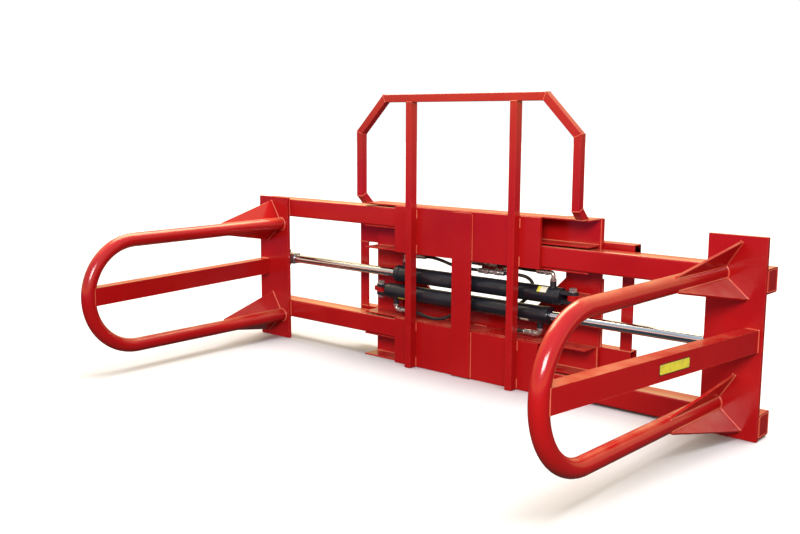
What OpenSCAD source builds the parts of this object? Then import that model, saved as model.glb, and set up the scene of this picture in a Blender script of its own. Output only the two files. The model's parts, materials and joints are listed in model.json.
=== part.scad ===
// Sliding bale clamp for a loader: two hooped arms run in a double-row slide frame,
// and each is drawn in or pushed out by its own hydraulic cylinder.
// Millimetres. X is across the clamp, the arms reach out along -Y, Z is up.
// The origin is at the middle of the lower beam's underside, where the clamp stands.

/* [Slide beams] */
// Length of both slide beams
beam_len = 1078; // [1000:1:1120]
// Outside size of the square slide tubes
tube_size = 80; // [70:1:90]
// Wall of the slide tubes
tube_wall = 6; // [4:0.5:8]
// Outside corner radius of the slide tubes
tube_corner = 7; // [3:0.5:10]
// Thickness of the beams' webs and flanges
beam_t = 6; // [5:0.5:10]
// Gap under a slide tube
gap_below = 1; // [0.5:0.5:3]
// Gap above a slide tube
gap_above = 6; // [1:0.5:8]
// Gap between a slide tube and the web behind it
gap_behind = 2; // [1:0.5:4]
// How far a slide tube stands proud of the flanges' front edges
tube_proud = 2; // [1:0.5:4]
// Clear height between the two beams
beam_space = 273; // [260:1:340]
// Length of the slide tubes
tube_len = 1178; // [1150:1:1190]

/* [Front of the frame] */
// Width of the two front plates
front_w = 700; // [640:1:760]
// How much lower the front plates are than the beams
front_short = 3; // [1:1:30]
// Thickness of the front plates
front_t = 16; // [10:1:20]
// Width of the centre strap
strap_w = 92; // [60:1:120]
// Thickness of the centre strap
strap_t = 9; // [6:1:14]
// How far the centre strap and the arm plates stop below the upper beam's top
top_drop = 6; // [1:1:30]

/* [Guard] */
// Width of each upright
upright_w = 30; // [25:1:50]
// Depth of each upright
upright_d = 36; // [30:1:50]
// Distance of each upright's centre from the middle
upright_x = 248; // [180:1:300]
// Height of the guard above the upper beam
guard_rise = 443; // [300:1:600]
// Distance of the guard's sides from the ends of the beams
guard_inset = 9; // [0:1:80]
// Size of the guard's tube
guard_tube = 30; // [25:1:40]
// Wall of the guard's tube and of the uprights
guard_wall = 3; // [2:0.5:4]
// Width and height of the guard's cut-off corners
guard_cut = 145; // [80:1:170]

/* [Rear frame] */
// How far the rear frame reaches past each end of the beams
rear_over = 124; // [70:1:200]
// Height of the rear frame's lower edge
rear_low = 90; // [60:1:120]
// Height of the rear frame's upper edge above the upper beam's underside
rear_up = 106; // [90:1:180]
// Height of the rear frame's two cross bars
rear_bar_h = 98; // [80:1:110]
// Width of the rear frame's two posts
rear_post_w = 44; // [35:1:60]
// Thickness of the rear posts
rear_post_t = 12; // [8:1:16]
// Depth of the rear frame
rear_d = 50; // [40:1:70]
// Wall of the rear frame's tubes
rear_t = 6; // [5:0.5:8]
// Width of the two stiles that join the beams
stile_w = 144; // [120:1:160]
// Thickness of the two stiles
stile_t = 18; // [12:1:24]
// How far each stile reaches past the ends of the beams
stile_over = 4; // [0:1:20]
// Thickness of the hitch plate
hitch_t = 12; // [8:1:16]
// Height of the hitch plate's upper edge in the middle
hitch_mid = 293; // [250:1:320]
// Height of the sloping sides of the hitch plate's notch
notch_rise = 144; // [80:1:160]

/* [Arm plates] */
// Width of each arm's end plate
plate_w = 190; // [170:1:200]
// Thickness of each arm's end plate
plate_t = 15; // [10:1:20]
// Gap between the end plates and the ground
floor_gap = 1; // [1:1:5]
// Distance of the left end plate's outer edge from the middle, as it stands
left_reach = 1196; // [1180:1:1230]
// Distance of the right end plate's outer edge from the middle, as it stands
right_reach = 1171; // [1160:1:1230]

/* [Arm hoops] */
// Outside diameter of the hoop's tube
hoop_d = 55; // [45:1:65]
// Wall of the hoop's tube
hoop_wall = 4; // [3:0.5:6]
// Height between the centres of the hoop's two limbs
hoop_span = 424; // [380:1:460]
// Distance of the hoop's centre below the middle of its plate
hoop_drop = 9; // [0:1:20]
// Length of the hoop from the plate to the middle of its nose
hoop_len = 998; // [800:1:1200]
// Angle at which the hoop leans towards the middle, in degrees
hoop_toe = 1.1; // [0:0.1:4]
// Distance of the hoop's limbs from the plate's inner edge
hoop_inset = 45; // [35:1:60]
// Thickness of the middle bar
bar_w = 50; // [40:1:60]
// Height of the middle bar
bar_h = 70; // [50:1:80]
// Wall of the middle bar
bar_wall = 4; // [3:0.5:6]
// Distance of the middle bar's centre from the plate's outer edge
bar_inset = 36; // [30:1:45]
// Length of a fin along its tube
fin_len = 330; // [150:1:400]
// Width of a fin where it meets the plate, from the tube's surface
fin_w = 95; // [60:1:110]
// Thickness of a fin
fin_t = 8; // [5:1:12]
// Slope of each limb's upper fin from level, in degrees
fin_rise = 58; // [40:1:65]
// Slope of each limb's lower fin from level, in degrees
fin_fall = 40; // [35:1:60]

/* [Hydraulic cylinders] */
// Outside diameter of the barrels
barrel_d = 64; // [60:1:70]
// Bore of the barrels
bore_d = 50; // [40:1:54]
// Diameter of the piston rods
rod_d = 36; // [20:1:38]
// Radial running clearance of rod and piston
run_gap = 0.05; // [0.01:0.01:0.1]
// Depth of the upper cylinder's centre line below the upper beam
upper_cyl_drop = 96; // [90:1:100]
// Gap between the two barrels
barrel_gap = 14; // [10:1:18]
// Distance of a base pin from the end of the beams
base_pin_inset = 72; // [60:1:84]
// Length from the base pin to the end of the gland
gland_end = 841; // [820:1:845]
// Diameter of the cylinder pins
pin_d = 20; // [16:1:24]
// Thickness of the lugs that the pins pass through
lug_t = 20; // [14:1:22]
// Thickness of each fork cheek
cheek_t = 12; // [8:1:14]
// Half width of the forks and lugs
fork_r = 20; // [18:1:22]
// Outside diameter of the hoses
hose_d = 13; // [11:1:14]

/* [Hidden] */
$fn = 72;
far = 3000;
RED = [0.66, 0.10, 0.09];
BLACK = [0.07, 0.07, 0.08];
STEEL = [0.78, 0.79, 0.80];
ZINC = [0.70, 0.71, 0.68];

// beams: rows of slide tubes between flanges
cavity_h = gap_below + tube_size + gap_above;
row_rise = cavity_h + beam_t;
beam_h = 2 * cavity_h + 3 * beam_t;
beam_rise = beam_h + beam_space;
beam_front = -42;
tube_front = beam_front - tube_proud;
tube_back = tube_front + tube_size;
web_front = tube_back + gap_behind;
web_back = web_front + beam_t;
beams_top = beam_rise + beam_h;
low_row = 0;
high_row = 1;
function tube_bottom(row) = beam_t + gap_below + row * row_rise;

// front plates stand off the flanges by the same gap again, on shims
shim_t = 2 * tube_proud;
front_back = beam_front - shim_t;
front_face = front_back - front_t;
front_low = 1;
front_h = beam_h - front_short;
strap_low = 3;
strap_h = beams_top - top_drop - strap_low;
upright_front = front_face - upright_d;

// guard: a mitred frame whose feet bend back on to the upper beam
foot_run = 44;
guard_top = beams_top + guard_rise;
guard_x = beam_len / 2 - guard_inset;
mitre = tan(22.5);
post_foot = 120;

// rear frame and stiles
stile_back = web_back + stile_t;
rear_back = stile_back + rear_d;
rear_w = beam_len + 2 * rear_over;
rear_high = beam_rise + rear_up;
stile_x = beam_len / 2 + stile_over - stile_w;
notch_half = stile_x - notch_rise;
notch_top = hitch_mid + notch_rise;
hitch_low = rear_low + rear_bar_h;

// arms
plate_back = tube_front;
plate_front = plate_back - plate_t;
plate_h = beams_top - top_drop - floor_gap;
arm_mid_z = floor_gap + plate_h / 2;
limb_r = hoop_span / 2;
hoop_r = hoop_d / 2;
bar_side = plate_w - bar_inset - hoop_inset + hoop_len * sin(hoop_toe);
bar_turn = atan2(bar_side, hoop_len * cos(hoop_toe));
bar_len = norm([bar_side, hoop_len * cos(hoop_toe)]);
trim = 60;
fin_tip = 6;
cap_t = 5;
cap_gap = 0.2;

// cylinders: lengths run from the base pin along the rod
cyl_y = -14;
upper_cyl_z = beam_rise - upper_cyl_drop;
lower_cyl_z = upper_cyl_z - barrel_d - barrel_gap;
base_pin_x = beam_len / 2 - base_pin_inset;
cap_from = 42;
cap_to = 70;
gland_len = 22;
gland_lip = 2;
nose_len = 6;
barrel_to = gland_end - gland_len;
base_port = 84;
port_setback = 43;
gland_port = gland_end - port_setback;
piston_len = 40;
piston_reach = 730;
groove_len = 6;
groove_depth = 3;
throat = 30;
block_len = 32;
pin_behind = 50;
pin_gap = 0.1;
piston_from_pin = left_reach - plate_w + pin_behind + base_pin_x - piston_reach;
cheek_gap = 0.5;
cheek_in = lug_t / 2 + cheek_gap;
cheek_out = cheek_in + cheek_t;
base_lug_out = 41;
rod_lug_out = 56;
head_r = pin_d / 2 + 5;
head_h = 12;
washer_t = 2;
overcut = 1;

// ports, elbows, hose ends
boss_r = 12;
boss_top = 52;
port_r = 5;
elbow_r = 9;
nut_r = 12;
elbow_rise = 31;
lower_elbow_rise = 23;
elbow_leg = 22;
long_elbow_leg = 60;
ferrule_r = 10;
tee_arm = 22;
tee_r = 9.5;
rod_tee = [105, cyl_y, beam_rise - 39];
base_tee = [55, 12, beam_rise - 15];
bracket_y = 24;
bracket_t = 6;
bracket_x = [30, 130];
bracket_low = beam_rise - 55;
coupler_len = 42;
coupler_r = 13;
coupler_neck_r = 11;
coupler_nut_r = 14;
coupler_nut_h = 9;
shank_r = 9;
shank_gap = 0.2;
hose_sides = 10;

// hose routes, from the ferrule at one end to the ferrule at the other
ROUTE_UPPER_ROD = [
    [-223, -14, 452], [-190, -14, 452], [-156, -14, 448], [-122, -14, 441], [-88, -14, 433],
    [-54, -14, 428], [-20, -14, 426], [14, -14, 426], [45, -14, 426]
];
ROUTE_LOWER_ROD = [
    [261, -14, 216], [232, -14, 216], [206, -12, 216], [183, -4, 220], [166, 8, 232],
    [160, 21, 252], [168, 30, 274], [187, 34, 294], [211, 35, 312], [235, 35, 331],
    [254, 35, 354], [264, 33, 380], [262, 26, 402], [248, 13, 418], [225, -1, 425],
    [197, -11, 426], [180, -14, 426], [165, -14, 426]
];
ROUTE_UPPER_BASE = [
    [313, -14, 452], [285, -14, 452], [255, -11, 452], [225, -4, 452], [195, 4, 451],
    [165, 10, 450], [140, 12, 450], [115, 12, 450]
];
ROUTE_LOWER_BASE = [
    [-313, -14, 216], [-290, -14, 216], [-262, -13, 213], [-235, -11, 207], [-208, -8, 202],
    [-180, -3, 200], [-151, 5, 204], [-124, 14, 215], [-102, 23, 234], [-88, 30, 260],
    [-80, 34, 292], [-77, 35, 326], [-75, 35, 360], [-69, 33, 393], [-56, 27, 421],
    [-36, 18, 443], [-19, 12, 450], [-5, 12, 450]
];

// ---------- shared shapes ----------

// A box from one corner to the opposite one
module block(low, high) {
    translate(low)
        cube(high - low);
}

// A plate lying flat: an outline drawn in X and Y, from one height to another
module slab(z_low, z_high) {
    translate([0, 0, z_low])
        linear_extrude(z_high - z_low)
            children();
}

// Square with rounded corners, centred
module rounded_square(size, r) {
    square([size - 2 * r, size], center = true);
    square([size, size - 2 * r], center = true);
    for (x = [-1, 1], y = [-1, 1])
        translate([x * (size / 2 - r), y * (size / 2 - r)])
            circle(r);
}

// Rectangular tube standing on its end, with its centre line at the origin
module box_tube(w, d, h, wall) {
    linear_extrude(h)
        difference() {
            square([w, d], center = true);
            square([w - 2 * wall, d - 2 * wall], center = true);
        }
}

// Cylinder along X from one place to another
module rod_x(x_low, x_high, r) {
    translate([x_low, 0, 0])
        rotate([0, 90, 0])
            cylinder(h = x_high - x_low, r = r);
}

// The left side of the clamp is drawn as the mirror image of the right side
module left() {
    mirror([1, 0, 0])
        children();
}

// ---------- slide frame ----------

module beam_web(z) {
    color(RED)
        block([-beam_len / 2, web_front, z], [beam_len / 2, web_back, z + beam_h]);
}

module beam_flanges(z) {
    color(RED)
        for (row = [0:2])
            block([-beam_len / 2, beam_front, z + row * row_rise],
                [beam_len / 2, web_front, z + row * row_rise + beam_t]);
}

module front_shims() {
    color(RED)
        for (z = [0, beam_rise], row = [0:2])
            block([-front_w / 2, front_back, z + row * row_rise],
                [front_w / 2, beam_front, z + row * row_rise + beam_t]);
}

module front_plate(z) {
    color(RED)
        block([-front_w / 2, front_face, z + front_low],
            [front_w / 2, front_back, z + front_low + front_h]);
}

module centre_strap() {
    color(RED)
        block([-strap_w / 2, front_face - strap_t, strap_low],
            [strap_w / 2, front_face, strap_low + strap_h]);
}

module upright() {
    color(RED)
        translate([upright_x, front_face - upright_d / 2, front_low])
            box_tube(upright_w, upright_d, guard_top - guard_tube - front_low, guard_wall);
}

// Front view of the guard's outline, set in from its outer edge
function guard_outline(inset) = [
    [guard_x - inset, post_foot + beams_top],
    [guard_x - inset, guard_top - guard_cut - inset * mitre],
    [guard_x - guard_cut - inset * mitre, guard_top - inset],
    [-guard_x + guard_cut + inset * mitre, guard_top - inset],
    [-guard_x + inset, guard_top - guard_cut - inset * mitre],
    [-guard_x + inset, post_foot + beams_top]
];

// Side view of a foot, which bends back at 45 degrees to stand on the upper beam
function foot_outline(inset, drop) = [
    [upright_front + inset, beams_top + post_foot + drop],
    [upright_front + guard_tube - inset, beams_top + post_foot + drop],
    [upright_front + guard_tube - inset, beams_top + foot_run - inset * mitre],
    [upright_front + guard_tube - inset + foot_run - inset * mitre + drop, beams_top - drop],
    [upright_front + foot_run - (guard_tube - inset) * mitre + inset + drop, beams_top - drop],
    [upright_front + inset, beams_top + foot_run - (guard_tube - inset) * mitre]
];

module guard_shape(inset, drop) {
    translate([0, upright_front + guard_tube - inset, 0])
        rotate([90, 0, 0])
            linear_extrude(guard_tube - 2 * inset)
                difference() {
                    polygon(guard_outline(inset));
                    polygon(guard_outline(guard_tube - inset));
                }
    for (x = [-guard_x, guard_x - guard_tube])
        translate([x + inset, 0, 0])
            rotate([90, 0, 90])
                linear_extrude(guard_tube - 2 * inset)
                    polygon(foot_outline(inset, drop));
}

module guard() {
    color(RED)
        difference() {
            guard_shape(0, 0);
            guard_shape(guard_wall, guard_wall);
        }
}

// ---------- rear frame ----------

module stile() {
    color(RED)
        block([stile_x, web_back, 0], [stile_x + stile_w, stile_back, beams_top]);
}

// Rectangular tube across the back
module rear_bar(z) {
    color(RED)
        difference() {
            block([-rear_w / 2, stile_back, z], [rear_w / 2, rear_back, z + rear_bar_h]);
            block([-rear_w, stile_back + rear_t, z + rear_t],
                [rear_w, rear_back - rear_t, z + rear_bar_h - rear_t]);
        }
}

// Flat bar between the ends of the two tubes
module rear_post() {
    color(RED)
        block([rear_w / 2 - rear_post_w, stile_back, rear_low + rear_bar_h],
            [rear_w / 2, stile_back + rear_post_t, rear_high - rear_bar_h]);
}

module hitch_plate() {
    outer = stile_x + stile_w;
    color(RED)
        translate([0, stile_back + hitch_t, 0])
            rotate([90, 0, 0])
                linear_extrude(hitch_t)
                    polygon([
                        [-outer, hitch_low], [outer, hitch_low], [outer, notch_top],
                        [stile_x, notch_top], [notch_half, hitch_mid],
                        [-notch_half, hitch_mid], [-stile_x, notch_top], [-outer, notch_top]
                    ]);
}

// ---------- hydraulic cylinders ----------

// The upper cylinder has its base on the right and its rod on the left
module upper_cyl() {
    translate([base_pin_x, cyl_y, upper_cyl_z])
        mirror([1, 0, 0])
            children();
}

// The lower cylinder has its base on the left and its rod on the right
module lower_cyl() {
    translate([-base_pin_x, cyl_y, lower_cyl_z])
        children();
}

// Upright hole for a pin
module pin_hole() {
    translate([0, 0, -far / 2])
        cylinder(h = far, r = pin_d / 2 + pin_gap);
}

// Lug for a base pin, welded to the stile behind it; the pin is at the origin
module base_lug() {
    color(RED)
        difference() {
            slab(-lug_t / 2, lug_t / 2)
                union() {
                    circle(fork_r);
                    translate([-base_lug_out, 0])
                        square([base_lug_out + fork_r, web_back - cyl_y]);
                }
            pin_hole();
        }
}

// Two cheeks that straddle a lug; the pin is at the origin and the eye ends at root_x
module cheeks(root_x) {
    for (z = [-cheek_out, cheek_in])
        slab(z, z + cheek_t)
            union() {
                circle(fork_r);
                translate([0, -fork_r])
                    square([root_x, 2 * fork_r]);
            }
}

// Base cap of a cylinder with its fork
module base_fork() {
    color(BLACK)
        difference() {
            union() {
                cheeks(cap_from);
                rod_x(cap_from, cap_to, barrel_d / 2);
            }
            pin_hole();
        }
}

// Bolt that serves as a pin, with a washer and a nut
module pin_bolt() {
    color(ZINC) {
        translate([0, 0, -cheek_out - head_h])
            cylinder(h = 2 * cheek_out + head_h + washer_t, r = pin_d / 2);
        translate([0, 0, cheek_out])
            cylinder(h = washer_t, r = head_r + washer_t);
        translate([0, 0, cheek_out + washer_t])
            cylinder(h = head_h, r = head_r, $fn = 6);
        translate([0, 0, -cheek_out - head_h])
            cylinder(h = head_h, r = head_r, $fn = 6);
    }
}

module barrel(up) {
    color(BLACK)
        difference() {
            rod_x(cap_to, barrel_to, barrel_d / 2);
            rod_x(cap_to - overcut, barrel_to + overcut, bore_d / 2);
            for (x = [base_port, gland_port])
                translate([x, 0, up ? 0 : -barrel_d])
                    cylinder(h = barrel_d, r = port_r);
        }
}

module gland() {
    color(BLACK)
        difference() {
            union() {
                rod_x(barrel_to, gland_end, barrel_d / 2 + gland_lip);
                rod_x(barrel_to - nose_len, barrel_to, bore_d / 2 - run_gap);
            }
            rod_x(0, gland_end + overcut, rod_d / 2 + run_gap);
        }
}

// Weld-on ports of one cylinder
module bosses(up) {
    for (x = [base_port, gland_port])
        difference() {
            translate([x, 0, up ? 0 : -boss_top])
                cylinder(h = boss_top, r = boss_r);
            rod_x(0, gland_end, barrel_d / 2);
            translate([x, 0, -far / 2])
                cylinder(h = far, r = port_r);
        }
}

module port_bosses() {
    color(BLACK) {
        upper_cyl()
            bosses(true);
        lower_cyl()
            bosses(false);
    }
}

// Elbow that stands on a port and turns along X; leg is its level length, signed
module elbow(rise, leg) {
    cylinder(h = rise, r = elbow_r);
    cylinder(h = elbow_r, r = nut_r, $fn = 6);
    translate([0, 0, rise])
        sphere(elbow_r);
    translate([0, 0, rise])
        rod_x(min(0, leg), max(0, leg), elbow_r);
}

// The four elbows, each with its port's place, its rise and its level leg
module each_elbow(place_x, place_z, rise, leg) {
    translate([place_x, cyl_y, place_z])
        mirror([0, 0, rise < 0 ? 1 : 0])
            elbow(abs(rise), leg);
}

module port_elbows() {
    color(ZINC) {
        each_elbow(base_pin_x - base_port, upper_cyl_z + boss_top, elbow_rise, -elbow_leg);
        each_elbow(base_pin_x - gland_port, upper_cyl_z + boss_top, elbow_rise, long_elbow_leg);
        each_elbow(base_port - base_pin_x, lower_cyl_z - boss_top, -lower_elbow_rise, elbow_leg);
        each_elbow(gland_port - base_pin_x, lower_cyl_z - boss_top, -lower_elbow_rise, -elbow_leg);
    }
}

// Crimped sleeve along X between a fitting and the end of a hose
module ferrule(fitting, hose_x) {
    translate([0, fitting[1], fitting[2]])
        rod_x(min(fitting[0], hose_x), max(fitting[0], hose_x), ferrule_r);
}

module hose_ferrules() {
    upper_z = upper_cyl_z + boss_top + elbow_rise;
    lower_z = lower_cyl_z - boss_top - lower_elbow_rise;
    color(STEEL) {
        ferrule([base_pin_x - gland_port + long_elbow_leg, cyl_y, upper_z], ROUTE_UPPER_ROD[0][0]);
        ferrule([gland_port - base_pin_x - elbow_leg, cyl_y, lower_z], ROUTE_LOWER_ROD[0][0]);
        ferrule([base_pin_x - base_port - elbow_leg, cyl_y, upper_z], ROUTE_UPPER_BASE[0][0]);
        ferrule([base_port - base_pin_x + elbow_leg, cyl_y, lower_z], ROUTE_LOWER_BASE[0][0]);
        ferrule(rod_tee + [-tee_arm, 0, 0], last_x(ROUTE_UPPER_ROD));
        ferrule(rod_tee + [tee_arm, 0, 0], last_x(ROUTE_LOWER_ROD));
        ferrule(base_tee + [tee_arm, 0, 0], last_x(ROUTE_UPPER_BASE));
        ferrule(base_tee + [-tee_arm, 0, 0], last_x(ROUTE_LOWER_BASE));
    }
}

// Tee with two arms along X and one that reaches back to the bracket
module tee(place) {
    translate(place) {
        rod_x(-tee_arm, tee_arm, tee_r);
        rotate([-90, 0, 0])
            cylinder(h = bracket_y - place[1], r = tee_r);
    }
}

module hose_tees() {
    color(ZINC) {
        tee(rod_tee);
        tee(base_tee);
    }
}

// Plate under the upper beam that holds the tees and the couplers
module tee_bracket() {
    color(RED)
        difference() {
            block([bracket_x[0], bracket_y, bracket_low],
                [bracket_x[1], bracket_y + bracket_t, beam_rise]);
            for (place = [rod_tee, base_tee])
                translate([place[0], 0, place[2]])
                    rotate([-90, 0, 0])
                        cylinder(h = far, r = shank_r + shank_gap);
        }
}

// Couplers for the loader's hoses, screwed to the tees through the bracket
module quick_couplers() {
    color(STEEL)
        for (place = [rod_tee, base_tee])
            translate([place[0], bracket_y, place[2]])
                rotate([-90, 0, 0]) {
                    cylinder(h = bracket_t, r = shank_r);
                    translate([0, 0, bracket_t])
                        cylinder(h = coupler_nut_h, r = coupler_nut_r, $fn = 6);
                    translate([0, 0, bracket_t])
                        cylinder(h = coupler_len, r = coupler_neck_r);
                    translate([0, 0, bracket_t + coupler_len / 2])
                        cylinder(h = coupler_len / 2, r = coupler_r);
                }
}

// ---------- hoses ----------

function unit(v) = v / norm(v);
function last_x(route) = route[len(route) - 1][0];
function tangent(route, i) = unit(route[min(i + 1, len(route) - 1)] - route[max(i - 1, 0)]);
function squared(n, t) = unit(n - (n * t) * t);
function side_vectors(route, i = 0, n = [0, 1, 0]) =
    i >= len(route) ? []
    : let (m = squared(n, tangent(route, i)))
        concat([m], side_vectors(route, i + 1, m));
function ring(p, t, n, r) = [
    for (k = [0:hose_sides - 1])
        p + r * cos(360 * k / hose_sides) * n + r * sin(360 * k / hose_sides) * cross(t, n)
];

// Round hose along a route
module hose(route) {
    sides = side_vectors(route);
    points = [
        for (i = [0:len(route) - 1])
            each ring(route[i], tangent(route, i), sides[i], hose_d / 2)
    ];
    walls = [
        for (i = [0:len(route) - 2], k = [0:hose_sides - 1])
            let (a = i * hose_sides, next = (k + 1) % hose_sides)
                each [
                    [a + k, a + hose_sides + k, a + next],
                    [a + next, a + hose_sides + k, a + hose_sides + next]
                ]
    ];
    start = [for (k = [0:hose_sides - 1]) k];
    end = [for (k = [hose_sides - 1:-1:0]) (len(route) - 1) * hose_sides + k];
    color(BLACK)
        polyhedron(points, concat(walls, [start], [end]));
}

// ---------- arms, drawn for the right side: reach is the plate's outer edge ----------

module arm_plate(reach) {
    color(RED)
        block([reach - plate_w, plate_front, floor_gap],
            [reach, plate_back, floor_gap + plate_h]);
}

// The places where a tube of this row enters the lower and the upper beam
module at_rows(row) {
    for (z = [0, beam_rise])
        translate([0, (tube_front + tube_back) / 2, z + tube_bottom(row) + tube_size / 2])
            children();
}

module slide_tubes(reach, row) {
    color(RED)
        at_rows(row)
            translate([reach - tube_len, 0, 0])
                rotate([90, 0, 90])
                    linear_extrude(tube_len)
                        difference() {
                            rounded_square(tube_size, tube_corner);
                            square(tube_size - 2 * tube_wall, center = true);
                        }
}

module tube_caps(reach, row) {
    inside = tube_size - 2 * tube_wall - 2 * cap_gap;
    color(RED)
        at_rows(row)
            translate([reach - cap_t, -inside / 2, -inside / 2])
                cube([cap_t, inside, inside]);
}

// The limbs' frame: the origin is at the plate, and -Y runs along the leaning arm
module along_arm(reach) {
    translate([reach - plate_w + hoop_inset, plate_front, arm_mid_z - hoop_drop])
        rotate([0, 0, -hoop_toe])
            children();
}

module hoop_solid(r) {
    for (z = [-limb_r, limb_r])
        translate([0, trim, z])
            rotate([90, 0, 0])
                cylinder(h = hoop_len - limb_r + trim, r = r);
    translate([0, limb_r - hoop_len, 0])
        mirror([0, 1, 0])
            rotate([0, -90, 0])
                rotate_extrude(angle = 180)
                    translate([limb_r, 0])
                        circle(r);
}

// Everything behind the face of the arm plate
module behind_plate() {
    block([-far, plate_front, -far], [far, far, far]);
}

module hoop(reach) {
    color(RED)
        difference() {
            along_arm(reach)
                hoop_solid(hoop_r);
            along_arm(reach)
                hoop_solid(hoop_r - hoop_wall);
            behind_plate();
        }
}

module middle_bar(reach) {
    color(RED)
        difference() {
            translate([reach - bar_inset, plate_front, arm_mid_z])
                rotate([0, 0, -bar_turn])
                    translate([0, trim, 0])
                        rotate([90, 0, 0])
                            box_tube(bar_w, bar_h, bar_len + trim, bar_wall);
            along_arm(reach)
                hoop_solid(hoop_r);
            behind_plate();
        }
}

// One fin: a tapered plate that stands out from the limb's centre line
module fin() {
    slope = (fin_w - fin_tip) / fin_len;
    translate([0, 0, -fin_t / 2])
        linear_extrude(fin_t)
            polygon([
                [hoop_r / 2, trim], [hoop_r + fin_w + slope * trim, trim],
                [hoop_r + fin_tip, -fin_len], [hoop_r / 2, -fin_len]
            ]);
}

module fins(reach) {
    color(RED)
        difference() {
            along_arm(reach)
                for (z = [-limb_r, limb_r], turn = [-fin_rise, fin_fall])
                    translate([0, 0, z])
                        rotate([0, turn, 0])
                            fin();
            along_arm(reach)
                hoop_solid(hoop_r);
            behind_plate();
        }
}

// The rod pin of an arm is behind its plate
module at_rod_pin(reach, z) {
    translate([reach - plate_w + pin_behind, cyl_y, z])
        children();
}

module rod_lug(reach, z) {
    color(RED)
        at_rod_pin(reach, z)
            difference() {
                slab(-lug_t / 2, lug_t / 2)
                    union() {
                        circle(fork_r);
                        translate([0, -fork_r])
                            square([rod_lug_out, 2 * fork_r]);
                        translate([-fork_r, plate_back - cyl_y])
                            square([rod_lug_out + fork_r, fork_r]);
                    }
                pin_hole();
            }
}

module rod_fork(reach, z) {
    color(STEEL)
        at_rod_pin(reach, z)
            mirror([1, 0, 0])
                difference() {
                    union() {
                        cheeks(throat);
                        block([throat, -fork_r, -cheek_out],
                            [throat + block_len, fork_r, cheek_out]);
                    }
                    pin_hole();
                }
}

module rod_pin(reach, z) {
    at_rod_pin(reach, z)
        pin_bolt();
}

module rod(reach, z) {
    color(STEEL)
        at_rod_pin(reach, z)
            rod_x(-piston_from_pin, -throat - block_len, rod_d / 2);
}

// Piston with two seal grooves
module piston(reach, z) {
    color(STEEL)
        at_rod_pin(reach, z)
            translate([-piston_from_pin - piston_len, 0, 0])
                difference() {
                    rod_x(0, piston_len, bore_d / 2 - run_gap);
                    for (x = [piston_len / 4, piston_len / 2])
                        difference() {
                            rod_x(x, x + groove_len, bore_d);
                            rod_x(x, x + groove_len, bore_d / 2 - groove_depth);
                        }
                }
}

module base_pins() {
    upper_cyl()
        pin_bolt();
    lower_cyl()
        pin_bolt();
}

beam_web(0);  // lower_beam_web
beam_flanges(0);  // lower_beam_flanges
beam_web(beam_rise);  // upper_beam_web
beam_flanges(beam_rise);  // upper_beam_flanges
front_shims();
front_plate(0);  // lower_front_plate
front_plate(beam_rise);  // upper_front_plate
centre_strap();
left() upright();  // left_upright
upright();  // right_upright
guard();
left() stile();  // left_stile
stile();  // right_stile
rear_bar(rear_high - rear_bar_h);  // rear_top_bar
rear_bar(rear_low);  // rear_bottom_bar
left() rear_post();  // left_rear_post
rear_post();  // right_rear_post
hitch_plate();
upper_cyl() mirror([0, 0, 1]) base_lug();  // upper_base_lug
lower_cyl() base_lug();  // lower_base_lug
base_pins();
upper_cyl() base_fork();  // upper_base_fork
lower_cyl() base_fork();  // lower_base_fork
upper_cyl() barrel(true);  // upper_barrel
lower_cyl() barrel(false);  // lower_barrel
upper_cyl() gland();  // upper_gland
lower_cyl() gland();  // lower_gland
port_bosses();
port_elbows();
hose_ferrules();
hose_tees();
tee_bracket();
quick_couplers();
hose(ROUTE_UPPER_ROD);  // upper_rod_hose
hose(ROUTE_LOWER_ROD);  // lower_rod_hose
hose(ROUTE_UPPER_BASE);  // upper_base_hose
hose(ROUTE_LOWER_BASE);  // lower_base_hose
left() arm_plate(left_reach);  // left_plate
left() slide_tubes(left_reach, high_row);  // left_slide_tubes
left() tube_caps(left_reach, high_row);  // left_tube_caps
left() hoop(left_reach);  // left_hoop
left() middle_bar(left_reach);  // left_bar
left() fins(left_reach);  // left_fins
left() rod_lug(left_reach, upper_cyl_z);  // left_rod_lug
left() rod_fork(left_reach, upper_cyl_z);  // left_rod_fork
left() rod_pin(left_reach, upper_cyl_z);  // left_rod_pin
left() rod(left_reach, upper_cyl_z);  // left_rod
left() piston(left_reach, upper_cyl_z);  // left_piston
arm_plate(right_reach);  // right_plate
slide_tubes(right_reach, low_row);  // right_slide_tubes
tube_caps(right_reach, low_row);  // right_tube_caps
hoop(right_reach);  // right_hoop
middle_bar(right_reach);  // right_bar
fins(right_reach);  // right_fins
rod_lug(right_reach, lower_cyl_z);  // right_rod_lug
rod_fork(right_reach, lower_cyl_z);  // right_rod_fork
rod_pin(right_reach, lower_cyl_z);  // right_rod_pin
rod(right_reach, lower_cyl_z);  // right_rod
piston(right_reach, lower_cyl_z);  // right_piston
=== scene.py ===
import json
import math
import random

import bmesh
import bpy
from mathutils import Matrix, Vector


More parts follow.
